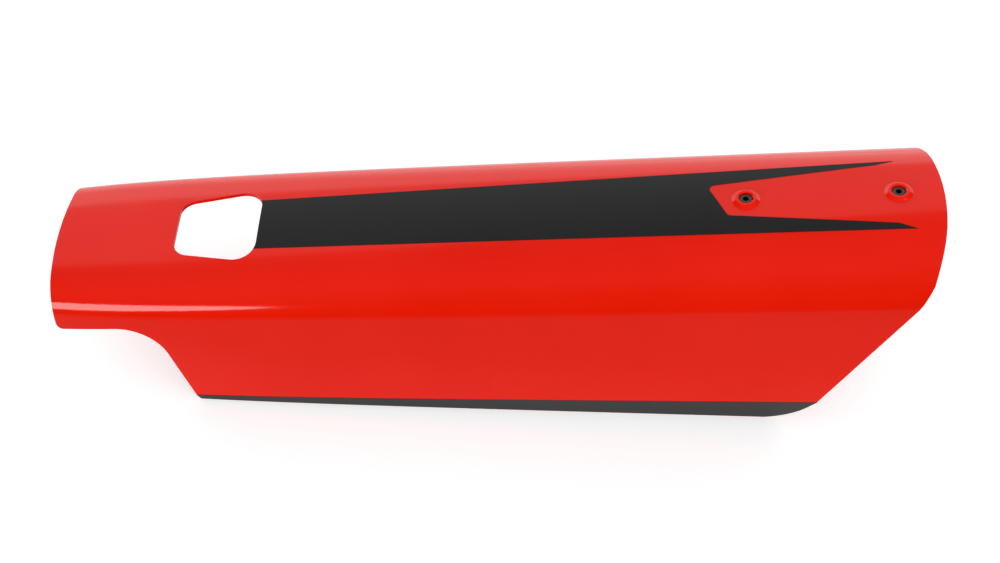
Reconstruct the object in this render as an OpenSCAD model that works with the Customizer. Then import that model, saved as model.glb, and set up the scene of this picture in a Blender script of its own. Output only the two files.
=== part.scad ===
// Channel-shaped battery cover lying open side down on its two skirt edges.
// The near side is the one at negative Y. The far skirt starts further back.
// X runs along the cover from the nose to the screw end, Y across, Z up. Millimetres.

/* [Overall size] */
// Length from the nose to the screw end
cover_length = 470; // [420:1:520]
// Height of the crown line at the nose
height_nose = 73.4; // [68:0.2:80]
// Height of the crown line at the screw end
height_tail = 129.4; // [120:0.2:138]
// Moulded wall
wall = 2.2; // [1.8:0.1:2.8]

/* [Cross-section] */
// Half angle of the shallow crown arc
crown_angle = 6.5; // [5.5:0.1:7.5]
// Half width of the crown at the nose before the nose narrowing
crown_half_nose = 36.4; // [34:0.1:38]
// Half width of the crown at the screw end
crown_half_tail = 21.6; // [20:0.1:24]
// How much narrower the crown gets at the very nose
nose_narrowing = 6.8; // [5:0.1:8]
// Distance over which the nose narrowing fades
nose_fade = 61; // [50:1:70]
// Shoulder radius at the nose
shoulder_r_nose = 18; // [16:0.5:20]
// Shoulder radius at the screw end
shoulder_r_tail = 37; // [34:0.5:39]
// Slope at which the shoulder stops and the flat flank begins
shoulder_end_angle = 80; // [78:0.5:82]
// Slope of the flat flanks
flank_angle = 84; // [83:0.5:86]
// Slope of the turned-in skirt edge
return_angle = 104; // [101:0.5:107]
// Height of the turned-in edge at the nose
return_h_nose = 1.7; // [1.5:0.1:4]
// Height of the turned-in edge at the screw end
return_h_tail = 26.1; // [22:0.1:30]

/* [Side outline] */
// How far the nose end leans back at the foot of its flank
nose_setback = 5; // [3:0.1:6]
// Height of the skirt cut-away at the nose
notch_h = 48.7; // [46:0.1:52]
// Length of the skirt cut-away measured to its inner corner
notch_length = 56.4; // [52:0.2:62]
// Rise of the cut-away's upper edge over that length
notch_rise = 7.3; // [6:0.1:9]
// Where the near skirt reaches the ground at the nose side
skirt_start = 77; // [72:0.5:84]
// How much longer the cut-away is on the far side
far_cut_back = 50; // [44:1:62]
// Slant of the tail edge from the vertical
tail_angle = 28.7; // [26:0.1:31]
// Height at which the slanted tail edge would meet an upright end
tail_corner_h = 124.4; // [119:0.2:129]
// Corner radius at the foot of the nose edge
nose_corner_r = 3; // [2:0.5:4]
// Radius inside the skirt cut-away
notch_r = 25; // [20:0.5:30]
// Corner radius where the skirt meets the ground
skirt_corner_r = 2; // [1:0.5:3]
// Radius where the tail edge meets the ground
tail_foot_r = 30; // [24:1:36]
// Radius of the sweep from the tail edge into the crown end
tail_sweep_r = 100; // [80:5:120]
// How far the nose edge curves back beside the crown, seen from above
nose_bow = 3.9; // [2:0.1:5]
// How far the tail edge curves back there
tail_bow = 6.5; // [4:0.1:8]

/* [Window] */
// Nose-side edge of the window
window_start = 66; // [62:0.2:70]
// Length of the window
window_length = 44.8; // [40:0.2:50]
// Half width of the window at its nose side
window_half_nose = 18.4; // [16:0.2:20]
// Half width of the window at its far side
window_half_tail = 26.2; // [24:0.2:27]
// Corner radius of the window at its nose side
window_r_nose = 9; // [7:0.5:11]
// Corner radius of the window at its far side
window_r_tail = 11; // [9:0.5:13]

/* [Screws and bosses] */
// Distance of the rear screw from the screw end
screw_from_end = 23; // [20:0.5:26]
// Distance between the two screws
screw_pitch = 78; // [70:0.5:84]
// Foot radius of the raised collar around each screw
collar_r = 7.7; // [7.2:0.1:8.4]
// Radius of the flat top of the collar
collar_top_r = 5; // [4.8:0.1:5.4]
// Height of the collar above the crown line
collar_h = 2; // [1.6:0.1:2.4]
// Radius of the moulded boss below the crown
boss_r = 6.2; // [5.8:0.1:6.8]
// Radius of the screw thread
screw_r = 2; // [1.95:0.05:2]
// Radius of the turned-down neck that keeps the screw in its washer
neck_r = 1.5; // [1.4:0.05:1.6]
// How far the neck runs on below the washer
neck_play = 0.8; // [0.6:0.1:1.2]
// Radius of the screw head
screw_head_r = 3.5; // [3.4:0.05:3.5]
// Height of the screw head
screw_head_h = 4; // [3.8:0.1:4]
// Length of the screw below its head
screw_length = 18; // [16:1:20]
// Width across the flats of the hexagon socket
hex_flats = 3; // [2.9:0.05:3.05]
// Depth of the hexagon socket
hex_depth = 2.2; // [1.8:0.1:2.4]
// How far the head lies below the mouth of the collar
head_recess = 1.1; // [0.8:0.1:1.6]
// Plastic left under the screw head
seat_thickness = 3; // [2.5:0.1:3.5]
// Outer radius of the retaining washer
washer_r = 4.5; // [4:0.1:5]
// Thickness of the retaining washer
washer_t = 1; // [0.8:0.1:1.4]

/* [Matte film] */
// Thickness of the film
film_t = 0.2; // [0.15:0.05:0.3]
// Half width of the film as it would be at the nose
film_half_nose = 15.3; // [14.5:0.1:16]
// Half width of the film as it would be at the screw end
film_half_tail = 24.5; // [24:0.1:25]
// Place of the film's tip on the far side
far_tip_x = 447.5; // [444:0.5:450]
// Place of the film's tip on the near side
near_tip_x = 453.5; // [450:0.5:456]
// Where the bare tongue around the screws begins
tongue_start = 349.5; // [346:0.5:352]
// How much further back the tongue begins on the near side
tongue_slant = 9.5; // [8:0.5:11]
// Half width of the tongue where it begins
tongue_half = 10.2; // [9.5:0.1:11]
// Half width of the tongue at the film's tips
tongue_half_end = 20.6; // [20:0.1:21]
// How far the tongue lies to the far side of the middle
tongue_shift = 1.1; // [0:0.1:1.4]
// Corner radius of the tongue
tongue_r = 3; // [2:0.5:4]
// Length of the hooked end of each tip
hook_length = 9; // [7:0.5:11]
// Bare edge left below the film on the skirts
film_edge_gap = 1.2; // [1:0.1:2]

/* [Inside] */
// Number of stiffening ribs under the crown
rib_count = 3; // [2:1:3]
// Thickness of a rib
rib_t = 1.6; // [1.4:0.1:2]
// Height of a rib
rib_h = 5; // [4:0.5:6]
// Place of the first rib
rib_first = 165; // [150:1:180]
// Distance from rib to rib
rib_pitch = 75; // [65:1:80]
// Slope at which each rib runs out on the shoulder
rib_end_angle = 48; // [40:1:56]
// Place of the two locating hooks under the nose
hook_x = 26; // [22:1:32]
// Distance of each hook from the middle
hook_y = 16; // [13:0.5:18]
// Width of a hook
hook_w = 9; // [7:0.5:11]
// Thickness of a hook
hook_t = 3; // [2.6:0.1:3.4]
// Depth of a hook below the crown
hook_drop = 11; // [9:0.5:13]
// How far the foot of a hook reaches to the nose
hook_reach = 9; // [7:0.5:11]

/* [Hidden] */
crown_steps = 5;
shoulder_steps = 13;
station_count = 11;
station_spread = 1.8;
over = 3;
overlap = 0.4;
bore_clearance = 0.2;
thread_clearance = 0.25;
washer_clearance = 0.05;
mouth_chamfer = 0.4;
tip_chamfer = 0.6;
arc_steps = 10;
collar_steps = 8;
crown_slope = atan((height_tail - height_nose) / cover_length);
outline_margin = 12;
outline_top = height_tail + outline_margin;
prism_half_width = cover_length / 4;
bow_place = 45;
bow_margin = 2;
// The plan outline reaches past the widest place, rounded up to whole millimetres
bow_half_width = ceil(bend_point(cover_length)[0]) + bow_margin;
bow_steps = 8;
// The sweep above the slanted edge ends exactly at the crown line's own end
sweep_start_h = tail_corner_h + tail_sweep_r * tan(tail_angle / 2);
tail_edge = cover_length + tail_sweep_r - sqrt(pow(tail_sweep_r, 2) - pow(sweep_start_h - height_tail, 2));
skirt_end = tail_edge - tail_corner_h * tan(tail_angle);
front_screw_x = cover_length - screw_from_end - screw_pitch;
rear_screw_x = cover_length - screw_from_end;
seat_z = collar_h - head_recess - screw_head_h;
boss_foot_z = seat_z - seat_thickness;
bore_r = screw_head_r + bore_clearance;
$fn = 48;

// Puts the middle of the length at zero
module centred() {
    translate([-cover_length / 2, 0, 0])
        children();
}

// Cross-section of the cover at a place along its length

function along(nose, tail, x) = nose + (tail - nose) * x / cover_length;
function apex_z(x) = along(height_nose, height_tail, x);
function crown_half(x) = along(crown_half_nose, crown_half_tail, x) - nose_narrowing * exp(-x / nose_fade);
function arc_step(r, a, b) = r * [sin(b) - sin(a), cos(b) - cos(a)];
function crown_point(x, a) = [0, apex_z(x)] + arc_step(crown_half(x) / sin(crown_angle), 0, a);
function shoulder_point(x, a) = crown_point(x, crown_angle)
    + arc_step(along(shoulder_r_nose, shoulder_r_tail, x), crown_angle, a);
function down_to(p, z, angle) = [p.x + (p.y - z) / tan(angle), z];
function bend_point(x) = down_to(shoulder_point(x, shoulder_end_angle), along(return_h_nose, return_h_tail, x), flank_angle);
function foot_point(x) = down_to(bend_point(x), -over, return_angle);

// Arc samples from the crown line down to a slope, the same slopes at every place
function arc_points(x, end_angle) = [
    for (i = [0 : crown_steps]) crown_point(x, crown_angle * i / crown_steps),
    for (i = [1 : shoulder_steps])
        let (a = crown_angle + (shoulder_end_angle - crown_angle) * i / shoulder_steps)
        if (a <= end_angle) shoulder_point(x, a)];
function half_section(x) = concat(arc_points(x, shoulder_end_angle), [bend_point(x), foot_point(x)]);
function mirrored(half) = concat([for (i = [len(half) - 1 : -1 : 1]) [-half[i].x, half[i].y]], half);

// Offsets a run of points to its left by d, keeping every segment parallel
function normal_of(a, b) = let (d = b - a) [-d.y, d.x] / norm(d);
function shifted(pts, d) = [
    for (i = [0 : len(pts) - 1])
        let (before = normal_of(pts[max(i - 1, 0)], pts[max(i, 1)]),
             after = normal_of(pts[min(i, len(pts) - 2)], pts[min(i + 1, len(pts) - 1)]))
        pts[i] + d * (before + after) / (1 + before * after)];

function stations(from, to) = [
    for (i = [0 : station_count])
        let (x = -over + (cover_length + 2 * over) * pow(i / station_count, station_spread))
        if (x >= from && x <= to) x];

// Solid between two offsets of the same run of section points, lofted over the stations
module band(sections, xs, outer, inner) {
    n = len(sections[0]);
    m = len(xs);
    pts = [for (s = [0 : m - 1]) each concat(
        [for (p = shifted(sections[s], outer)) [xs[s], p.x, p.y]],
        [for (p = shifted(sections[s], inner)) [xs[s], p.x, p.y]])];
    function quad(a, b, c, d) = [[a, b, c], [a, c, d]];
    faces = concat(
        [for (s = [0 : m - 2], i = [0 : n - 2]) let (o = s * 2 * n + i) each quad(o, o + 1, o + 2 * n + 1, o + 2 * n)],
        [for (s = [0 : m - 2], i = [0 : n - 2]) let (o = s * 2 * n + n + i) each quad(o, o + 2 * n, o + 2 * n + 1, o + 1)],
        [for (s = [0 : m - 2]) let (o = s * 2 * n) each quad(o, o + 2 * n, o + 3 * n, o + n)],
        [for (s = [0 : m - 2]) let (o = s * 2 * n + n - 1) each quad(o, o + n, o + 3 * n, o + 2 * n)],
        [for (i = [0 : n - 2]) each quad(i, i + n, i + n + 1, i + 1)],
        [for (i = [0 : n - 2]) let (o = (m - 1) * 2 * n + i) each quad(o, o + 1, o + n + 1, o + n)]);
    polyhedron(pts, faces);
}

// Outlines

// Polygon corner replaced by an arc of radius r
function unit(v) = v / norm(v);
function corner(a, b, c, r) = r == 0 ? [b] :
    let (u = unit(a - b), v = unit(c - b), half = acos(u * v) / 2,
         centre = b + unit(u + v) * r / sin(half),
         p = b + u * r / tan(half) - centre, q = b + v * r / tan(half) - centre,
         from = atan2(p.y, p.x), turn = atan2(p.x * q.y - p.y * q.x, p * q))
    [for (i = [0 : arc_steps]) centre + r * [cos(from + turn * i / arc_steps), sin(from + turn * i / arc_steps)]];
function rounded(pts, radii) = let (n = len(pts))
    [for (i = [0 : n - 1]) each corner(pts[(i + n - 1) % n], pts[i], pts[(i + 1) % n], radii[i])];

module side_outline(cut_back) {
    cut_length = notch_length + cut_back;
    cut_rise = notch_rise * (cut_length - nose_setback) / (notch_length - nose_setback);
    polygon(rounded(
        [[0, outline_top], [0, height_nose - wall], [nose_setback, notch_h], [cut_length, notch_h + cut_rise],
         [skirt_start + cut_back, 0], [skirt_end, 0], [tail_edge, tail_corner_h], [tail_edge, outline_top]],
        [0, 0, nose_corner_r, notch_r, skirt_corner_r, tail_foot_r, tail_sweep_r, 0]));
}

// Everything within the side outline on one side of the middle
module side_prism(side) {
    scale([1, -side, 1])
        rotate([90, 0, 0])
            linear_extrude(prism_half_width)
                side_outline(side > 0 ? far_cut_back : 0);
}

// Everything between the curved ends, seen from above
module plan_prism() {
    ys = [for (i = [-bow_steps : bow_steps]) bow_half_width * i / bow_steps];
    linear_extrude(outline_top)
        polygon(concat(
            [for (y = ys) [nose_bow * pow(y / bow_place, 2), y]],
            [for (y = ys) [cover_length - tail_bow * pow(y / bow_place, 2), -y]]));
}

module window_outline() {
    window_end = window_start + window_length;
    polygon(rounded(
        [[window_start, -window_half_nose], [window_end, -window_half_tail],
         [window_end, window_half_tail], [window_start, window_half_nose]],
        [window_r_nose, window_r_tail, window_r_tail, window_r_nose]));
}

module window_prism() {
    linear_extrude(outline_top)
        window_outline();
}

function film_half(x) = along(film_half_nose, film_half_tail, x);
// Edge of the bare tongue, above or below its own centre line
function tongue_edge(x, side) = tongue_shift + side * (tongue_half
    + (tongue_half_end - tongue_half) * (x - tongue_start) / (far_tip_x - hook_length - tongue_start));

module film_outline() {
    start = window_start + window_length / 2;
    far_hook = far_tip_x - hook_length;
    near_hook = near_tip_x - hook_length;
    near_corner = tongue_start + tongue_slant;
    polygon(concat(
        [[start, film_half(start)], [start, -film_half(start)], [near_tip_x, -film_half(near_tip_x)]],
        corner([near_tip_x, -film_half(near_tip_x)], [near_hook, tongue_edge(near_hook, -1)],
               [near_corner, tongue_edge(near_corner, -1)], hook_length),
        corner([near_hook, tongue_edge(near_hook, -1)], [near_corner, tongue_edge(near_corner, -1)],
               [tongue_start, tongue_edge(tongue_start, 1)], tongue_r),
        corner([near_corner, tongue_edge(near_corner, -1)], [tongue_start, tongue_edge(tongue_start, 1)],
               [far_hook, tongue_edge(far_hook, 1)], tongue_r),
        corner([tongue_start, tongue_edge(tongue_start, 1)], [far_hook, tongue_edge(far_hook, 1)],
               [far_tip_x, film_half(far_tip_x)], hook_length),
        [[far_tip_x, film_half(far_tip_x)]]));
}

// Frame of a screw: Z out of the crown, zero on the crown line
module on_crown(x) {
    translate([x, 0, apex_z(x)])
        rotate([0, -crown_slope, 0])
            children();
}

// Screw boss: raised collar outside, round post inside

module boss() {
    rotate_extrude()
        polygon(concat(
            [[0, boss_foot_z], [boss_r, boss_foot_z], [boss_r, -wall], [collar_r, -wall]],
            [for (i = [0 : collar_steps])
                let (s = i / collar_steps)
                [collar_r - (collar_r - collar_top_r) * s,
                 -overlap / 2 + (collar_h + overlap / 2) * (1 - cos(180 * s)) / 2]],
            [[0, collar_h]]));
}

module boss_bore() {
    rotate_extrude()
        polygon([[0, boss_foot_z - over], [screw_r + thread_clearance, boss_foot_z - over],
                 [screw_r + thread_clearance, seat_z], [bore_r, seat_z],
                 [bore_r, collar_h - mouth_chamfer], [bore_r + mouth_chamfer, collar_h],
                 [bore_r + mouth_chamfer, collar_h + over], [0, collar_h + over]]);
}

// Stiffening rib that follows the inside of the crown and shoulders
module rib(x) {
    xs = [x, x + rib_t];
    band([for (p = xs) mirrored(arc_points(p, rib_end_angle))], xs, overlap - wall, -wall - rib_h);
}

// Locating hook: a post under the crown with a foot that points to the nose
module hook(side) {
    top = apex_z(hook_x) - wall;
    translate([hook_x, side * hook_y - hook_w / 2, top - hook_drop])
        cube([hook_t, hook_w, hook_drop]);
    translate([hook_x - hook_reach, side * hook_y - hook_w / 2, top - hook_drop])
        cube([hook_reach + hook_t, hook_w, hook_t]);
}

module cover_shell() {
    xs = stations(-over, cover_length + over);
    color([0.88, 0.09, 0.05])
    centred()
    difference() {
        union() {
            intersection() {
                band([for (x = xs) mirrored(half_section(x))], xs, 0, -wall);
                for (side = [-1, 1])
                    side_prism(side);
                plan_prism();
            }
            for (x = [front_screw_x, rear_screw_x])
                on_crown(x) boss();
            for (i = [0 : rib_count - 1])
                rib(rib_first + rib_pitch * i);
            for (side = [-1, 1])
                hook(side);
        }
        window_prism();
        for (x = [front_screw_x, rear_screw_x])
            on_crown(x) boss_bore();
    }
}

module crown_film() {
    xs = stations(window_start, cover_length + over);
    color([0.045, 0.045, 0.047])
    centred()
    difference() {
        intersection() {
            band([for (x = xs) mirrored(arc_points(x, rib_end_angle))], xs, film_t, 0);
            linear_extrude(outline_top)
                film_outline();
        }
        window_prism();
    }
}

module skirt_film(side) {
    xs = stations(0, cover_length + over);
    color([0.06, 0.06, 0.062])
    centred()
    intersection() {
        scale([1, side, 1])
            band([for (x = xs) [bend_point(x), foot_point(x)]], xs, film_t, 0);
        side_prism(side);
        translate([0, -prism_half_width, film_edge_gap])
            cube([cover_length, 2 * prism_half_width, height_nose]);
    }
}

module near_skirt_film() {
    skirt_film(-1);
}

module far_skirt_film() {
    skirt_film(1);
}

// Captive cap screw: round head, hexagon socket, neck for the washer, thread

module hexagon(flats) {
    polygon([for (i = [0 : 5]) flats / 2 / cos(30) * [cos(60 * i), sin(60 * i)]]);
}

module cap_screw() {
    head_edge = tip_chamfer / 2;
    thread_z = boss_foot_z - washer_t - neck_play;
    color([0.42, 0.43, 0.45])
    difference() {
        rotate_extrude()
            polygon([[0, seat_z - screw_length], [screw_r - tip_chamfer, seat_z - screw_length],
                     [screw_r, seat_z - screw_length + tip_chamfer], [screw_r, thread_z],
                     [neck_r, thread_z], [neck_r, seat_z],
                     [screw_head_r, seat_z], [screw_head_r, seat_z + screw_head_h - head_edge],
                     [screw_head_r - head_edge, seat_z + screw_head_h], [0, seat_z + screw_head_h]]);
        translate([0, 0, seat_z + screw_head_h - hex_depth])
            linear_extrude(hex_depth + over)
                hexagon(hex_flats);
    }
}

module retaining_washer() {
    color([0.09, 0.09, 0.09])
    rotate_extrude()
        translate([neck_r + washer_clearance, boss_foot_z - washer_t])
            square([washer_r - neck_r - washer_clearance, washer_t]);
}

module front_screw() {
    centred() on_crown(front_screw_x) cap_screw();
}

module rear_screw() {
    centred() on_crown(rear_screw_x) cap_screw();
}

module front_washer() {
    centred() on_crown(front_screw_x) retaining_washer();
}

module rear_washer() {
    centred() on_crown(rear_screw_x) retaining_washer();
}

cover_shell();
crown_film();
near_skirt_film();
far_skirt_film();
front_screw();
rear_screw();
front_washer();
rear_washer();
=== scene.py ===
import math

import bmesh
import bpy
from mathutils import Matrix, Vector


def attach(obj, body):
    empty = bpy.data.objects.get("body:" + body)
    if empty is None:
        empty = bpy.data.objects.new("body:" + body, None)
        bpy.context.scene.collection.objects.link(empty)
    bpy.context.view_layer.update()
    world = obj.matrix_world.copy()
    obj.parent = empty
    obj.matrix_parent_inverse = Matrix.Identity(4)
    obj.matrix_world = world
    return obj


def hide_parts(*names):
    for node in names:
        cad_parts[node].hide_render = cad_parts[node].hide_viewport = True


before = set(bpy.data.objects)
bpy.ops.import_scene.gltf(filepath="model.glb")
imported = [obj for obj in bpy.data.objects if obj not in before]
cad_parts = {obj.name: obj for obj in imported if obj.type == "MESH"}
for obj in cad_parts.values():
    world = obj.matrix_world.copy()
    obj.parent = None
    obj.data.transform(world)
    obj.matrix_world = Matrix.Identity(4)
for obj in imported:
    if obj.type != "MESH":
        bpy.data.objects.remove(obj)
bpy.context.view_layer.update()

# Camera
# It stands at the near side, 50 degrees above the floor and turned by 1.8 degrees, so that the
# cover lies across the picture with its nose to the left.
camera_elevation = math.radians(50)
camera_roll = math.radians(1.84)
camera_distance = 0.8404
camera_target = Vector((0.00675, 0, 0.0445))
sight = Vector((0, math.cos(camera_elevation), -math.sin(camera_elevation)))
level = Vector((1, 0, 0))
upward = level.cross(sight)
right = level * math.cos(camera_roll) + upward * math.sin(camera_roll)
top = upward * math.cos(camera_roll) - level * math.sin(camera_roll)
camera = bpy.data.objects.new("camera", bpy.data.cameras.new("camera"))
camera.data.sensor_width = 36
camera.data.lens = 53.95
turn = Matrix((right, top, -sight)).transposed().to_4x4()
camera.matrix_world = Matrix.Translation(camera_target - sight * camera_distance) @ turn
bpy.context.scene.collection.objects.link(camera)
bpy.context.scene.camera = camera
bpy.context.scene.view_settings.view_transform = "Standard"

# Cover shell
# The real piece is one injection moulding of tough plastic with a 2.2 mm wall. It is lacquered in
# gloss red outside and over its cut edges, and left as moulded inside.
# Its section is a shallow crown, two round shoulders, two flat flanks and two turned-in edges.
mm = 0.001
cover_length = 470 * mm
height_nose, height_tail = 73.4 * mm, 129.4 * mm
wall = 2.2 * mm
crown_angle, shoulder_end, flank_angle, return_angle = 6.5, 80, 84, 104
crown_half_nose, crown_half_tail = 36.4 * mm, 21.6 * mm
nose_narrowing, nose_fade = 6.8 * mm, 61 * mm
shoulder_r_nose, shoulder_r_tail = 18 * mm, 37 * mm
return_h_nose, return_h_tail = 1.7 * mm, 26.1 * mm
over = 3 * mm
shell_stations = 110
crease_support = 0.35 * mm


def along(nose, tail, x):
    return nose + (tail - nose) * x / cover_length


def crown_z(x):
    return along(height_nose, height_tail, x)


def crown_half(x):
    return along(crown_half_nose, crown_half_tail, x) - nose_narrowing * math.exp(-x / nose_fade)


def arc_step(radius, start, end):
    """Way over an arc from one slope to another, as (y, z)."""
    start, end = math.radians(start), math.radians(end)
    across, down = math.sin(end) - math.sin(start), math.cos(end) - math.cos(start)
    return Vector((radius * across, radius * down))


def arc_point(x, slope):
    """Point of the outer skin where it slopes so, as (y, z)."""
    point = Vector((0, crown_z(x)))
    crown_r = crown_half(x) / math.sin(math.radians(crown_angle))
    point += arc_step(crown_r, 0, min(slope, crown_angle))
    if slope > crown_angle:
        point += arc_step(along(shoulder_r_nose, shoulder_r_tail, x), crown_angle, slope)
    return point


def down_to(point, z, slope):
    """Point at height z on the straight line that leaves a point with that slope."""
    return Vector((point.x + (point.y - z) / math.tan(math.radians(slope)), z))


def outward(slope):
    """Way out of the skin where it slopes so."""
    return Vector((math.sin(math.radians(slope)), math.cos(math.radians(slope))))


shoulder_span, shoulder_steps = shoulder_end - crown_angle, 30
arc_slopes = [0, 0.8, 1.6, 2.4, 3.2, 4, 4.8, 5.6, crown_angle]
arc_slopes += [crown_angle + shoulder_span * i / shoulder_steps for i in range(1, shoulder_steps)]
arc_slopes += [79.4, shoulder_end]
flank_steps = 9
return_steps = 4


def arc_run(x, end_slope):
    """Half section over the crown and shoulder, as (point, way out of the skin)."""
    return [(arc_point(x, a), outward(a)) for a in arc_slopes if a <= end_slope]


def skirt_run(x):
    """Half section from just above the bend down past the foot."""
    bend = down_to(arc_point(x, shoulder_end), along(return_h_nose, return_h_tail, x), flank_angle)
    foot = down_to(bend, -over, return_angle)
    above = bend + (arc_point(x, shoulder_end) - bend).normalized() * crease_support
    below = bend + (foot - bend).normalized() * crease_support
    steps = [below.lerp(foot, i / return_steps) for i in range(return_steps + 1)]
    return [(above, outward(flank_angle)), (bend, outward((flank_angle + return_angle) / 2))] + [
        (p, outward(return_angle)) for p in steps
    ]


def whole_run(x):
    arcs = arc_run(x, shoulder_end)
    skirt = skirt_run(x)
    start, end = arcs[-1][0], skirt[0][0]
    first = start + (end - start).normalized() * crease_support
    flank = [(first.lerp(end, i / flank_steps), outward(flank_angle)) for i in range(flank_steps)]
    return arcs + flank + skirt


def both_sides(run):
    mirrored = [(Vector((-p.x, p.y)), Vector((-n.x, n.y))) for p, n in run[:0:-1]]
    return mirrored + run


def lofted_sheet(run_at, stations, lift):
    """Extrudes the section's chain of edges from station to station, fitting it to each one."""
    bm = bmesh.new()

    def fit(verts, x):
        for v, (p, n) in zip(verts, run_at(x)):
            v.co = (x - cover_length / 2, p.x + n.x * lift, p.y + n.y * lift)

    chain = [bm.verts.new() for _ in run_at(stations[0])]
    edges = [bm.edges.new(pair) for pair in zip(chain, chain[1:])]
    fit(chain, stations[0])
    for x in stations[1:]:
        made = bmesh.ops.extrude_edge_only(bm, edges=edges)["geom"]
        new = {v for v in made if isinstance(v, bmesh.types.BMVert)}
        chain = [
            next(e.other_vert(v) for e in v.link_edges if e.other_vert(v) in new) for v in chain
        ]
        edges = [bm.edges.get(pair) for pair in zip(chain, chain[1:])]
        fit(chain, x)
    bm.normal_update()
    top_face = max(bm.faces, key=lambda f: f.calc_center_median().z)
    if top_face.normal.z < 0:
        bmesh.ops.reverse_faces(bm, faces=bm.faces)
    return bm


def spread(start, end, count):
    return [start + (end - start) * i / count for i in range(count + 1)]


def new_piece(name, bm):
    mesh = bpy.data.meshes.new(name)
    bm.to_mesh(mesh)
    bm.free()
    piece = bpy.data.objects.new(name, mesh)
    bpy.context.scene.collection.objects.link(piece)
    return piece


def keep_modifiers(piece):
    """Makes what the piece's modifiers show its own mesh."""
    bpy.context.view_layer.update()
    shown = piece.evaluated_get(bpy.context.evaluated_depsgraph_get())
    mesh = bpy.data.meshes.new_from_object(shown)
    piece.modifiers.clear()
    piece.data = mesh


def thicken(piece, thickness, inner_material=0):
    wall_maker = piece.modifiers.new("wall", "SOLIDIFY")
    wall_maker.thickness = thickness
    wall_maker.offset = -1
    wall_maker.use_even_offset = True
    wall_maker.material_offset = inner_material
    keep_modifiers(piece)


def combine(piece, tool, operation, finish=None):
    """Cuts, joins or trims the piece with a tool that is then thrown away.

    The faces that come from the tool get the finish, or keep their own where none is given."""
    if finish:
        tool.data.materials.clear()
        tool.data.materials.append(finish)
    step = piece.modifiers.new("step", "BOOLEAN")
    step.operation = operation
    step.solver = "MANIFOLD"
    step.material_mode = "TRANSFER"
    step.object = tool
    keep_modifiers(piece)
    bpy.data.objects.remove(tool)


weld_gap, sliver_length = 0.004 * mm, 0.002 * mm


def smooth_between_edges(piece, angle=28):
    bm = bmesh.new()
    bm.from_mesh(piece.data)
    bmesh.ops.remove_doubles(bm, verts=bm.verts, dist=weld_gap)
    bmesh.ops.dissolve_degenerate(bm, edges=bm.edges, dist=sliver_length)
    for face in bm.faces:
        face.smooth = True
    bm.to_mesh(piece.data)
    bm.free()
    piece.data.set_sharp_from_angle(angle=math.radians(angle))
    # Large faces set the shading, so that long thin ones beside a joined shape stay smooth.
    steady = piece.modifiers.new("steady", "WEIGHTED_NORMAL")
    steady.mode = "FACE_AREA"
    steady.keep_sharp = True
    keep_modifiers(piece)


def prism(name, corners, radii, lowest, highest, upright):
    """Tool with rounded corners: upright over an XY outline, or across the cover over an XZ one."""
    bm = bmesh.new()
    if upright:
        verts = [bm.verts.new((x - cover_length / 2, y, lowest)) for x, y in corners]
    else:
        verts = [bm.verts.new((x - cover_length / 2, lowest, z)) for x, z in corners]
    bm.faces.new(verts)
    for vert, radius in zip(verts, radii):
        if radius:
            a, b = (e.other_vert(vert).co - vert.co for e in vert.link_edges)
            half_corner = a.angle(b) / 2
            # At 90 degrees this profile is 0.5. It keeps the arc round at other corners.
            roundness = (1 - 0.5 / (1 + math.sin(half_corner))) ** 2
            bmesh.ops.bevel(
                bm, geom=[vert], offset=radius / math.tan(half_corner), offset_type="OFFSET",
                segments=max(6, int(radius / mm)), profile=roundness, affect="VERTICES",
                material=-1,
            )
    face = bm.faces[:][0]
    made = bmesh.ops.extrude_face_region(bm, geom=[face])["geom"]
    shift = (0, 0, highest - lowest) if upright else (0, highest - lowest, 0)
    bmesh.ops.translate(bm, verts=[v for v in made if isinstance(v, bmesh.types.BMVert)], vec=shift)
    bmesh.ops.recalc_face_normals(bm, faces=bm.faces)
    return new_piece(name, bm)


nose_setback, notch_h = 5 * mm, 48.7 * mm
notch_length, notch_rise = 56.4 * mm, 7.3 * mm
skirt_start, far_cut_back = 77 * mm, 50 * mm
tail_angle, tail_corner_h, tail_sweep_r = math.radians(28.7), 124.4 * mm, 100 * mm
sweep_start_h = tail_corner_h + tail_sweep_r * math.tan(tail_angle / 2)
sweep_run = math.sqrt(tail_sweep_r**2 - (sweep_start_h - height_tail) ** 2)
tail_edge = cover_length + tail_sweep_r - sweep_run
skirt_end = tail_edge - tail_corner_h * math.tan(tail_angle)
outline_top = 160 * mm
tail_bend_h, tail_bend_r = 97.5 * mm, 60 * mm
tail_bend = tail_edge - (tail_corner_h - tail_bend_h) * math.tan(tail_angle)
tail_lean = (cover_length - tail_bend) / (height_tail - tail_bend_h)
tail_top = tail_bend + (outline_top - tail_bend_h) * tail_lean
lip_r, notch_r, skirt_nose_r, skirt_tail_r = 3 * mm, 25 * mm, 2 * mm, 30 * mm
half_width = 90 * mm


def side_prism():
    """The side outline as a tool: the far half, from the middle on, has the longer cut-away."""
    halves = []
    for cut_back, start, end in ((0, -half_width, 0), (far_cut_back, 0, half_width)):
        cut_length = notch_length + cut_back
        cut_rise = notch_rise * (cut_length - nose_setback) / (notch_length - nose_setback)
        corners = [
            (0, outline_top), (0, height_nose - wall), (nose_setback, notch_h),
            (cut_length, notch_h + cut_rise), (skirt_start + cut_back, 0), (skirt_end, 0),
            (tail_bend, tail_bend_h), (tail_top, outline_top),
        ]
        radii = [0, 0, lip_r, notch_r, skirt_nose_r, skirt_tail_r, tail_bend_r, 0]
        halves.append(prism("side_outline", corners, radii, start, end, upright=False))
    combine(halves[0], halves[1], "UNION")
    return halves[0]


nose_bow, tail_bow, bow_place = 3.9 * mm, 6.5 * mm, 45 * mm
bow_half_width, bow_steps = 64 * mm, 16


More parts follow.
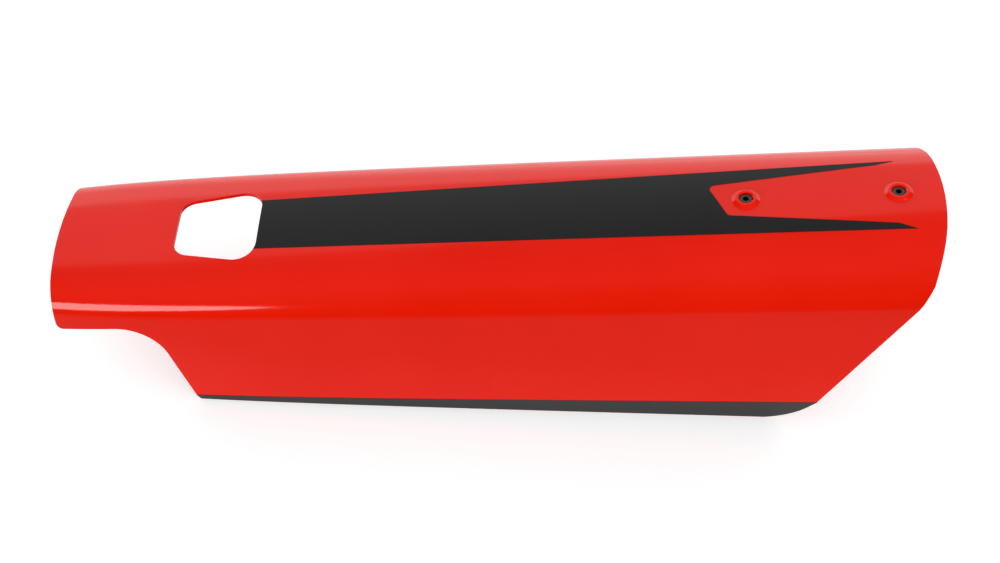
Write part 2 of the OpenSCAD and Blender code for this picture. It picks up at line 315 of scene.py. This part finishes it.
def plan_prism():
    """The outline from above as a tool: both ends curve back towards the shoulders."""
    ys = [bow_half_width * i / bow_steps for i in range(-bow_steps, bow_steps + 1)]
    corners = [(nose_bow * (y / bow_place) ** 2, -y) for y in ys]
    corners += [(cover_length - tail_bow * (y / bow_place) ** 2, y) for y in ys]
    return prism("plan_outline", corners, [0] * len(corners), 0, outline_top, upright=True)


window_start, window_end = 66 * mm, 110.8 * mm
window_half_nose, window_half_tail = 18.4 * mm, 26.2 * mm
window_nose_r, window_tail_r = 9 * mm, 11 * mm


def window_prism():
    corners = [
        (window_start, -window_half_nose), (window_end, -window_half_tail),
        (window_end, window_half_tail), (window_start, window_half_nose),
    ]
    radii = [window_nose_r, window_tail_r, window_tail_r, window_nose_r]
    return prism("window", corners, radii, 0, outline_top, upright=True)


screw_places = [369 * mm, 447 * mm]
crown_slope = math.atan((height_tail - height_nose) / cover_length)
collar_r, collar_top_r, collar_h, collar_foot = 7.8 * mm, 5 * mm, 2 * mm, -0.04 * mm
boss_r, boss_foot = 6.2 * mm, -6.1 * mm
seat_z, bore_r, shank_bore_r = -3.1 * mm, 3.7 * mm, 2.25 * mm
mouth_chamfer = 0.4 * mm


def revolved(profile, steps=64):
    """Closed body of revolution about Z from a profile of (radius, height)."""
    bm = bmesh.new()
    verts = [bm.verts.new((r, 0, z)) for r, z in profile]
    edges = [bm.edges.new(pair) for pair in zip(verts, verts[1:])]
    bmesh.ops.spin(
        bm, geom=verts + edges, cent=(0, 0, 0), axis=(0, 0, 1), angle=2 * math.pi, steps=steps,
        use_merge=True,
    )
    bmesh.ops.remove_doubles(bm, verts=bm.verts, dist=0.001 * mm)
    bmesh.ops.recalc_face_normals(bm, faces=bm.faces)
    return bm


def on_crown(bm, x):
    """Moves a piece that stands at zero to the crown line at x, along the crown's own upright."""
    shift = Matrix.Translation((x - cover_length / 2, 0, crown_z(x)))
    tilt = Matrix.Rotation(-crown_slope, 4, "Y")
    bmesh.ops.transform(bm, matrix=shift @ tilt, verts=bm.verts)
    return bm


def follow_crown(bm, x):
    """Bends the foot of a collar down to the crown's curve and leaves its top flat."""
    bend_r = crown_half(x) / math.sin(math.radians(crown_angle))
    for v in bm.verts:
        if v.co.z > -wall:
            v.co.z -= v.co.y**2 / (2 * bend_r) * (1 - v.co.z / collar_h)
    return bm


def collar_profile():
    """Outline of a boss: a post below the wall, and a collar that rises in a soft wave."""
    steps = 14
    rise = [
        (collar_r - (collar_r - collar_top_r) * i / steps,
         collar_foot + (collar_h - collar_foot) * (1 - math.cos(math.pi * i / steps)) / 2)
        for i in range(steps + 1)
    ]
    post = [(0, boss_foot), (boss_r, boss_foot), (boss_r, -wall), (collar_r, -wall)]
    return post + rise + [(0, collar_h)]


def bore_profile():
    """Outline of the hole in a boss: the shank's way through, the head's seat and its bore."""
    return [
        (0, boss_foot - over), (shank_bore_r, boss_foot - over),
        (shank_bore_r, seat_z), (bore_r, seat_z),
        (bore_r, collar_h - mouth_chamfer), (bore_r + mouth_chamfer, collar_h),
        (bore_r + mouth_chamfer, collar_h + over), (0, collar_h + over),
    ]


rib_places = [165 * mm, 240 * mm, 315 * mm]
rib_t, rib_h, rib_end_slope = 1.6 * mm, 5 * mm, 48
hook_x, hook_y, hook_w, hook_t = 26 * mm, 16 * mm, 9 * mm, 3 * mm
hook_drop, hook_reach = 11 * mm, 9 * mm
overlap = 0.4 * mm


def block(name, low, high):
    bm = bmesh.new()
    bmesh.ops.create_cube(bm, size=1)
    size = Vector(high) - Vector(low)
    bmesh.ops.scale(bm, vec=size, verts=bm.verts)
    middle = (Vector(high) + Vector(low)) / 2 - Vector((cover_length / 2, 0, 0))
    bmesh.ops.translate(bm, vec=middle, verts=bm.verts)
    return new_piece(name, bm)


def new_material(name):
    material = bpy.data.materials.new(name)
    material.use_nodes = True
    return material, material.node_tree.nodes, material.node_tree.links


def grain_group():
    """Relief of two sizes of noise with fine dots, for lacquer, moulded plastic and film."""
    group = bpy.data.node_groups.new("fine_grain", "ShaderNodeTree")
    for name, value in (("Wave", 300.0), ("Grain", 2500.0), ("Grain share", 0.3)):
        socket = group.interface.new_socket(name, in_out="INPUT", socket_type="NodeSocketFloat")
        socket.default_value = value
    group.interface.new_socket("Height", in_out="OUTPUT", socket_type="NodeSocketFloat")
    group.interface.new_socket("Patches", in_out="OUTPUT", socket_type="NodeSocketFloat")
    nodes, links = group.nodes, group.links
    start, end = nodes.new("NodeGroupInput"), nodes.new("NodeGroupOutput")
    place = nodes.new("ShaderNodeTexCoord")
    wave, grain, patch = (nodes.new("ShaderNodeTexNoise") for _ in range(3))
    patch.inputs["Scale"].default_value = 14
    patch.inputs["Detail"].default_value = 4
    wave.inputs["Detail"].default_value = 1
    grain.inputs["Detail"].default_value = 2
    mix = nodes.new("ShaderNodeMix")
    links.new(start.outputs["Wave"], wave.inputs["Scale"])
    links.new(start.outputs["Grain"], grain.inputs["Scale"])
    for noise in (wave, grain, patch):
        links.new(place.outputs["Object"], noise.inputs["Vector"])
    links.new(start.outputs["Grain share"], mix.inputs["Factor"])
    links.new(wave.outputs["Fac"], mix.inputs["A"])
    links.new(grain.outputs["Fac"], mix.inputs["B"])
    links.new(mix.outputs["Result"], end.inputs["Height"])
    links.new(patch.outputs["Fac"], end.inputs["Patches"])
    return group


fine_grain = grain_group()


def add_grain(nodes, links, wave, grain, share, strength, depth):
    """Puts the shared relief on a material's surface and gives its patches for other uses."""
    relief = nodes.new("ShaderNodeGroup")
    relief.node_tree = fine_grain
    relief.inputs["Wave"].default_value = wave
    relief.inputs["Grain"].default_value = grain
    relief.inputs["Grain share"].default_value = share
    bump = nodes.new("ShaderNodeBump")
    bump.inputs["Strength"].default_value = strength
    bump.inputs["Distance"].default_value = depth
    links.new(relief.outputs["Height"], bump.inputs["Height"])
    links.new(bump.outputs["Normal"], nodes["Principled BSDF"].inputs["Normal"])
    return relief


def vary(nodes, links, source, socket, low, high):
    """Lets a socket run between two values with the noise."""
    spread_out = nodes.new("ShaderNodeMapRange")
    spread_out.inputs["From Min"].default_value = 0.35
    spread_out.inputs["From Max"].default_value = 0.65
    spread_out.inputs["To Min"].default_value = low
    spread_out.inputs["To Max"].default_value = high
    links.new(source, spread_out.inputs["Value"])
    links.new(spread_out.outputs["Result"], socket)


def vary_colour(nodes, links, source, socket, low, high):
    """Lets a colour run between two values with the noise."""
    ramp = nodes.new("ShaderNodeValToRGB")
    ramp.color_ramp.elements[0].position = 0.3
    ramp.color_ramp.elements[1].position = 0.7
    ramp.color_ramp.elements[0].color = (*low, 1)
    ramp.color_ramp.elements[1].color = (*high, 1)
    links.new(source, ramp.inputs["Fac"])
    links.new(ramp.outputs["Color"], socket)


red_lacquer, nodes, links = new_material("red_lacquer")
surface = nodes["Principled BSDF"]
surface.inputs["IOR"].default_value = 1.5
relief = add_grain(nodes, links, wave=330, grain=1500, share=0.15, strength=0.25, depth=0.012 * mm)
vary(nodes, links, relief.outputs["Patches"], surface.inputs["Roughness"], 0.075, 0.105)
vary_colour(
    nodes, links, relief.outputs["Patches"], surface.inputs["Base Color"],
    (0.765, 0.0094, 0.0008), (0.805, 0.0108, 0.0013),
)

red_inside, nodes, links = new_material("red_moulding_inside")
surface = nodes["Principled BSDF"]
relief = add_grain(nodes, links, wave=700, grain=3200, share=0.6, strength=0.5, depth=0.05 * mm)
vary(nodes, links, relief.outputs["Patches"], surface.inputs["Roughness"], 0.42, 0.55)
vary_colour(
    nodes, links, relief.outputs["Patches"], surface.inputs["Base Color"],
    (0.60, 0.010, 0.006), (0.66, 0.013, 0.008),
)

shell_places = spread(-over, cover_length + over, shell_stations)
shell_bm = lofted_sheet(lambda x: both_sides(whole_run(x)), shell_places, 0)
shell = new_piece("cover_shell_body", shell_bm)
shell.data.materials.append(red_lacquer)
shell.data.materials.append(red_inside)
thicken(shell, wall, inner_material=1)
combine(shell, side_prism(), "INTERSECT", red_lacquer)
combine(shell, plan_prism(), "INTERSECT", red_lacquer)
for place in screw_places:
    boss_bm = revolved(collar_profile())
    for face in boss_bm.faces:
        face.material_index = int(face.calc_center_median().z < -wall)
    boss = new_piece("boss", on_crown(follow_crown(boss_bm, place), place))
    boss.data.materials.append(red_lacquer)
    boss.data.materials.append(red_inside)
    combine(shell, boss, "UNION")
for place in rib_places:
    rib_bm = lofted_sheet(
        lambda x: both_sides(arc_run(x, rib_end_slope)), [place, place + rib_t], overlap - wall
    )
    rib = new_piece("rib", rib_bm)
    thicken(rib, rib_h + overlap)
    combine(shell, rib, "UNION", red_inside)
for side in (-1, 1):
    under_crown = crown_z(hook_x) - wall
    low_y, high_y = side * hook_y - hook_w / 2, side * hook_y + hook_w / 2
    hook_foot = under_crown - hook_drop
    post = block(
        "post", (hook_x, low_y, hook_foot), (hook_x + hook_t, high_y, under_crown + overlap)
    )
    foot = block(
        "foot", (hook_x - hook_reach, low_y, hook_foot),
        (hook_x + hook_t, high_y, hook_foot + hook_t),
    )
    combine(post, foot, "UNION")
    combine(shell, post, "UNION", red_inside)
combine(shell, window_prism(), "DIFFERENCE", red_lacquer)
for place in screw_places:
    bore = new_piece("bore", on_crown(revolved(bore_profile(), 48), place))
    combine(shell, bore, "DIFFERENCE", red_lacquer)
smooth_between_edges(shell)
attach(shell, "root")
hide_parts("cover_shell")

# Film on the crown
# A thin matte black film of soft plastic, cut to a long field that starts at the window and forks
# round a bare tongue at the screws. It is stuck onto the lacquer.
film_t = 0.2 * mm
film_half_nose, film_half_tail = 15.3 * mm, 24.5 * mm
far_tip, near_tip = 447.5 * mm, 453.5 * mm
tongue_start, tongue_slant, tongue_shift = 349.5 * mm, 9.5 * mm, 1.1 * mm
tongue_half, tongue_half_end, tongue_r = 10.2 * mm, 20.6 * mm, 3 * mm
hook_length = 9 * mm
film_end_slope = 48


def film_half(x):
    return along(film_half_nose, film_half_tail, x)


def tongue_edge(x, side):
    """Where the bare tongue ends to one side of the middle."""
    run = (x - tongue_start) / (far_tip - hook_length - tongue_start)
    return tongue_shift + side * (tongue_half + (tongue_half_end - tongue_half) * run)


matte_film, nodes, links = new_material("matte_black_film")
surface = nodes["Principled BSDF"]
surface.inputs["Specular IOR Level"].default_value = 0.3
relief = add_grain(nodes, links, wave=900, grain=4200, share=0.7, strength=0.35, depth=0.03 * mm)
vary(nodes, links, relief.outputs["Patches"], surface.inputs["Roughness"], 0.46, 0.55)
vary_colour(
    nodes, links, relief.outputs["Patches"], surface.inputs["Base Color"],
    (0.0088, 0.0088, 0.0090), (0.0112, 0.0112, 0.0114),
)

film = new_piece(
    "crown_film_sheet",
    lofted_sheet(lambda x: both_sides(arc_run(x, film_end_slope)), shell_places, film_t),
)
film.data.materials.append(matte_film)
thicken(film, film_t)
field_start = (window_start + window_end) / 2
near_hook, far_hook = near_tip - hook_length, far_tip - hook_length
near_corner = tongue_start + tongue_slant
field = prism(
    "field",
    [
        (field_start, film_half(field_start)), (field_start, -film_half(field_start)),
        (near_tip, -film_half(near_tip)), (near_hook, tongue_edge(near_hook, -1)),
        (near_corner, tongue_edge(near_corner, -1)), (tongue_start, tongue_edge(tongue_start, 1)),
        (far_hook, tongue_edge(far_hook, 1)), (far_tip, film_half(far_tip)),
    ],
    [0, 0, 0, hook_length, tongue_r, tongue_r, hook_length, 0],
    0, outline_top, upright=True,
)
combine(film, field, "INTERSECT", matte_film)
combine(film, window_prism(), "DIFFERENCE", matte_film)
smooth_between_edges(film)
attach(film, "root")
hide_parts("crown_film")

# Films on the skirt edges
# One strip of satin black film on each turned-in edge, from the bend down to just above the foot.
# It is tougher than the film on the crown, and both strips are trimmed with the shell's outline.
# Its base colour is lighter than the crown film's, partly painted light from the floor that it
# faces.
film_edge_gap = 0.4 * mm
satin_film_painted_lighter, nodes, links = new_material("satin_black_film")
surface = nodes["Principled BSDF"]
relief = add_grain(nodes, links, wave=900, grain=4200, share=0.7, strength=0.3, depth=0.02 * mm)
vary(nodes, links, relief.outputs["Patches"], surface.inputs["Roughness"], 0.34, 0.42)
# Partly painted light: this grey is lighter than the crown film's black, to stand in for the light
# the strips get from the floor below.
vary_colour(
    nodes, links, relief.outputs["Patches"], surface.inputs["Base Color"],
    (0.026, 0.026, 0.026), (0.032, 0.032, 0.032),
)
for name, side in (("near_skirt_film", -1), ("far_skirt_film", 1)):
    def skirt_side(x):
        return [(Vector((side * p.x, p.y)), Vector((side * n.x, n.y))) for p, n in skirt_run(x)[1:]]

    strip_bm = lofted_sheet(skirt_side, shell_places, film_t)
    first_face = next(iter(strip_bm.faces))
    if first_face.normal.y * side <= 0:
        bmesh.ops.reverse_faces(strip_bm, faces=strip_bm.faces)
    strip = new_piece(name + "_strip", strip_bm)
    strip.data.materials.append(satin_film_painted_lighter)
    thicken(strip, film_t)
    combine(strip, side_prism(), "INTERSECT", satin_film_painted_lighter)
    above_foot = block(
        "above_foot", (0, -half_width, film_edge_gap), (cover_length, half_width, height_nose)
    )
    combine(strip, above_foot, "INTERSECT", satin_film_painted_lighter)
    smooth_between_edges(strip)
    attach(strip, "root")
    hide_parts(name)

# Captive screws
# Two M4 cap screws of dark zinc-plated steel with a hexagon socket. Each is sunk in its boss, and
# a turned-down neck above the rolled thread keeps it in its washer.
screw_r, neck_r, thread_root_r, thread_pitch = 2 * mm, 1.5 * mm, 1.6 * mm, 0.7 * mm
head_r, head_h, screw_length = 3.5 * mm, 4 * mm, 18 * mm
hex_flats, hex_depth = 3 * mm, 2.2 * mm
washer_t, neck_play, tip_chamfer = 1 * mm, 0.8 * mm, 0.6 * mm
thread_top = boss_foot - washer_t - neck_play
thread_foot = seat_z - screw_length
head_edge_r, head_foot_edge, neck_fillet, tip_narrowing = 0.45 * mm, 0.15 * mm, 0.2 * mm, 0.2 * mm
dish_rim_r, dish_r, dish_depth = hex_flats / 2 + 0.75 * mm, hex_flats / 2 + 0.6 * mm, 0.12 * mm
hex_corner_r = hex_flats / 2 / math.cos(math.pi / 6)
ridge_sunk, ridge_start, ridge_steps = 0.1 * mm, 0.35 * thread_pitch, 20
ridge_foot, ridge_crest = 0.34 * thread_pitch, 0.06 * thread_pitch

dark_steel, nodes, links = new_material("dark_zinc_steel")
surface = nodes["Principled BSDF"]
surface.inputs["Metallic"].default_value = 1
relief = add_grain(nodes, links, wave=1800, grain=6000, share=0.4, strength=0.3, depth=0.02 * mm)
vary(nodes, links, relief.outputs["Height"], surface.inputs["Roughness"], 0.14, 0.28)
vary_colour(
    nodes, links, relief.outputs["Height"], surface.inputs["Base Color"],
    (0.09, 0.085, 0.083), (0.18, 0.17, 0.165),
)


def screw_body():
    """Screw without its thread and socket, at its place in a boss that stands at zero."""
    top_z = seat_z + head_h
    shank = [
        (0, thread_foot), (thread_root_r - tip_narrowing, thread_foot),
        (thread_root_r, thread_foot + tip_chamfer), (thread_root_r, thread_top),
        (neck_r, thread_top), (neck_r, seat_z - neck_fillet), (neck_r + neck_fillet, seat_z),
    ]
    head_foot = [(head_r - head_foot_edge, seat_z), (head_r, seat_z + head_foot_edge)]
    turns = [math.radians(a) for a in (0, 30, 60, 90)]
    head_edge = [
        (head_r - head_edge_r + head_edge_r * math.cos(turn),
         top_z - head_edge_r + head_edge_r * math.sin(turn))
        for turn in turns
    ]
    head_top = [(dish_rim_r, top_z), (dish_r, top_z - dish_depth), (0, top_z - dish_depth)]
    return revolved(shank + head_foot + head_edge + head_top, steps=48)


def screw_thread():
    """One ridge wound round the screw: a small profile spun and moved down by one pitch a turn."""
    bm = bmesh.new()
    start = thread_top - ridge_start
    profile = [
        (thread_root_r - ridge_sunk, start + ridge_foot), (screw_r, start + ridge_crest),
        (screw_r, start - ridge_crest), (thread_root_r - ridge_sunk, start - ridge_foot),
    ]
    ridge = bm.faces.new([bm.verts.new((r, 0, z)) for r, z in profile])
    turns = (start - thread_foot - tip_chamfer / 2) / thread_pitch
    steps = int(turns * ridge_steps)
    bmesh.ops.spin(
        bm, geom=[ridge], cent=(0, 0, 0), axis=(0, 0, 1),
        dvec=(0, 0, -thread_pitch * turns / steps), angle=2 * math.pi * turns, steps=steps,
    )
    bmesh.ops.recalc_face_normals(bm, faces=bm.faces)
    return bm


for name, place in zip(("front_screw", "rear_screw"), screw_places):
    screw = new_piece(name + "_body", screw_body())
    screw.data.materials.append(dark_steel)
    socket_bm = bmesh.new()
    bmesh.ops.create_cone(
        socket_bm, cap_ends=True, segments=6, depth=2 * hex_depth,
        radius1=hex_corner_r, radius2=hex_corner_r,
    )
    bmesh.ops.translate(socket_bm, verts=socket_bm.verts, vec=(0, 0, seat_z + head_h))
    combine(screw, new_piece("socket", socket_bm), "DIFFERENCE", dark_steel)
    combine(screw, new_piece("thread", screw_thread()), "UNION", dark_steel)
    placed = bmesh.new()
    placed.from_mesh(screw.data)
    on_crown(placed, place)
    placed.to_mesh(screw.data)
    placed.free()
    smooth_between_edges(screw, 32)
    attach(screw, "root")
    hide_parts(name)

# Retaining washers
# A black nylon washer is pressed over the thread into each screw's neck, below the boss, so that
# the screw can't fall out when it is undone.
washer_r, washer_hole_r, washer_edge = 4.5 * mm, 1.55 * mm, 0.15 * mm
black_nylon, nodes, links = new_material("black_nylon")
surface = nodes["Principled BSDF"]
relief = add_grain(nodes, links, wave=1500, grain=5000, share=0.5, strength=0.3, depth=0.02 * mm)
vary(nodes, links, relief.outputs["Patches"], surface.inputs["Roughness"], 0.38, 0.5)
vary_colour(
    nodes, links, relief.outputs["Patches"], surface.inputs["Base Color"],
    (0.018, 0.018, 0.018), (0.028, 0.028, 0.028),
)
for name, place in zip(("front_washer", "rear_washer"), screw_places):
    top_z, foot_z = boss_foot, boss_foot - washer_t
    outline = [
        (washer_hole_r, foot_z + washer_edge), (washer_hole_r + washer_edge, foot_z),
        (washer_r - washer_edge, foot_z), (washer_r, foot_z + washer_edge),
        (washer_r, top_z - washer_edge), (washer_r - washer_edge, top_z),
        (washer_hole_r + washer_edge, top_z), (washer_hole_r, top_z - washer_edge),
    ]
    washer = new_piece(name + "_ring", on_crown(revolved(outline + outline[:1], 48), place))
    washer.data.materials.append(black_nylon)
    smooth_between_edges(washer, 32)
    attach(washer, "root")
    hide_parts(name)

# Studio
# A pale floor, a bright wall behind the cover, two soft boxes before it to the left and right, and
# an even surround that the lacquer mirrors dimly. The crown shows the wall and the flank the floor.
scene = bpy.context.scene
world = bpy.data.worlds.new("surround")
scene.world = world
world.use_nodes = True
world_nodes, world_links = world.node_tree.nodes, world.node_tree.links
fill = world_nodes["Background"]
backdrop, dark_room = (world_nodes.new("ShaderNodeBackground") for _ in range(2))
for shade in (fill, backdrop, dark_room):
    shade.inputs["Color"].default_value = (1, 1, 1, 1)
fill.inputs["Strength"].default_value = 0.70
way, height = world_nodes.new("ShaderNodeTexCoord"), world_nodes.new("ShaderNodeSeparateXYZ")
brighter_up = world_nodes.new("ShaderNodeMapRange")
brighter_up.inputs["From Min"].default_value = 0.25
brighter_up.inputs["From Max"].default_value = 0.75
brighter_up.inputs["To Min"].default_value = 0.01
brighter_up.inputs["To Max"].default_value = 0.125
world_links.new(way.outputs["Generated"], height.inputs["Vector"])
world_links.new(height.outputs["Z"], brighter_up.inputs["Value"])
world_links.new(brighter_up.outputs["Result"], dark_room.inputs["Strength"])
path = world_nodes.new("ShaderNodeLightPath")
mirrored_or_not, seen_or_not = (world_nodes.new("ShaderNodeMixShader") for _ in range(2))
world_links.new(path.outputs["Is Glossy Ray"], mirrored_or_not.inputs["Fac"])
world_links.new(fill.outputs["Background"], mirrored_or_not.inputs[1])
world_links.new(dark_room.outputs["Background"], mirrored_or_not.inputs[2])
world_links.new(path.outputs["Is Camera Ray"], seen_or_not.inputs["Fac"])
world_links.new(mirrored_or_not.outputs["Shader"], seen_or_not.inputs[1])
world_links.new(backdrop.outputs["Background"], seen_or_not.inputs[2])
world_links.new(seen_or_not.outputs["Shader"], world_nodes["World Output"].inputs["Surface"])

# The floor is pale to the camera. To all else it darkens from the far side to the near one, as
# painted shade that the lacquer mirrors and that bounces less light up.
floor_half, floor_fade = 6, 0.5
floor_bm = bmesh.new()
bmesh.ops.create_grid(floor_bm, x_segments=1, y_segments=1, size=floor_half)
floor = new_piece("floor", floor_bm)
floor_material, nodes, links = new_material("pale_floor")
nodes.remove(nodes["Principled BSDF"])
seen, unseen = nodes.new("ShaderNodeBsdfDiffuse"), nodes.new("ShaderNodeBsdfDiffuse")
seen.inputs["Color"].default_value = (0.8, 0.8, 0.8, 1)
where, across = nodes.new("ShaderNodeTexCoord"), nodes.new("ShaderNodeSeparateXYZ")
along_y, tones = nodes.new("ShaderNodeMapRange"), nodes.new("ShaderNodeValToRGB")
along_y.inputs["From Min"].default_value = -floor_fade
along_y.inputs["From Max"].default_value = floor_fade
# Painted shade: the floor's colour for all but the camera runs from nearly black on the near side
# to pale on the far side.
painted_floor_shade = ((0.23, 0.02), (0.35, 0.27), (0.39, 0.29), (0.43, 0.5), (0.66, 0.95))
for place, _ in painted_floor_shade[1:-1]:
    tones.color_ramp.elements.new(place)
for stop, (place, tone) in zip(tones.color_ramp.elements, painted_floor_shade):
    stop.position = place
    stop.color = (tone, tone, tone, 1)
links.new(where.outputs["Object"], across.inputs["Vector"])
links.new(across.outputs["Y"], along_y.inputs["Value"])
links.new(along_y.outputs["Result"], tones.inputs["Fac"])
links.new(tones.outputs["Color"], unseen.inputs["Color"])
lift_light = nodes.new("ShaderNodeEmission")
lift_light.inputs["Strength"].default_value = 0.42
lit = nodes.new("ShaderNodeAddShader")
choose, from_below = nodes.new("ShaderNodeMixShader"), nodes.new("ShaderNodeMixShader")
clear = nodes.new("ShaderNodeBsdfTransparent")
ray, geometry = nodes.new("ShaderNodeLightPath"), nodes.new("ShaderNodeNewGeometry")
links.new(seen.outputs["BSDF"], lit.inputs[0])
links.new(lift_light.outputs["Emission"], lit.inputs[1])
links.new(ray.outputs["Is Camera Ray"], choose.inputs["Fac"])
links.new(unseen.outputs["BSDF"], choose.inputs[1])
links.new(lit.outputs["Shader"], choose.inputs[2])
links.new(geometry.outputs["Backfacing"], from_below.inputs["Fac"])
links.new(choose.outputs["Shader"], from_below.inputs[1])
links.new(clear.outputs["BSDF"], from_below.inputs[2])
links.new(from_below.outputs["Shader"], nodes["Material Output"].inputs["Surface"])
floor.data.materials.append(floor_material)


def soft_box(name, shape, place, aim, width, height, radiance):
    """Area lamp of an even brightness. It isn't seen by the camera, only lights and reflects."""
    lamp = bpy.data.objects.new(name, bpy.data.lights.new(name, "AREA"))
    lamp.data.shape = shape
    lamp.data.size, lamp.data.size_y = width, height
    filled = math.pi / 4 if shape == "ELLIPSE" else 1
    lamp.data.energy = radiance * math.pi * width * height * filled
    way = Vector(aim) - Vector(place)
    facing = way.to_track_quat("-Z", "Y").to_matrix().to_4x4()
    lamp.matrix_world = Matrix.Translation(place) @ facing
    scene.collection.objects.link(lamp)
    lamp.visible_camera = False


cover_middle = (0, 0, 0.05)


def around(azimuth, elevation, distance):
    """A place seen from the cover in that direction, with azimuth 0 at the near side."""
    a, e = math.radians(azimuth), math.radians(elevation)
    return (distance * math.cos(e) * math.sin(a), -distance * math.cos(e) * math.cos(a),
            cover_middle[2] + distance * math.sin(e))


wall_y, wall_width, wall_z, upper_z = 3, 10, 1.08, 3.42
soft_box(
    "wall_behind", "RECTANGLE", (0, wall_y, wall_z), (0, 0, wall_z),
    width=wall_width, height=2.15, radiance=1.18,
)
soft_box(
    "upper_wall_behind", "RECTANGLE", (0, wall_y, upper_z), (0, 0, upper_z),
    width=wall_width, height=2.52, radiance=0.42,
)
soft_box(
    "left_box", "ELLIPSE", around(-39, 10, 2.4), cover_middle, width=1.8, height=0.82, radiance=5.6
)
soft_box(
    "right_box", "ELLIPSE", around(44, 16, 2.4), cover_middle, width=1.9, height=1.2, radiance=3.7
)
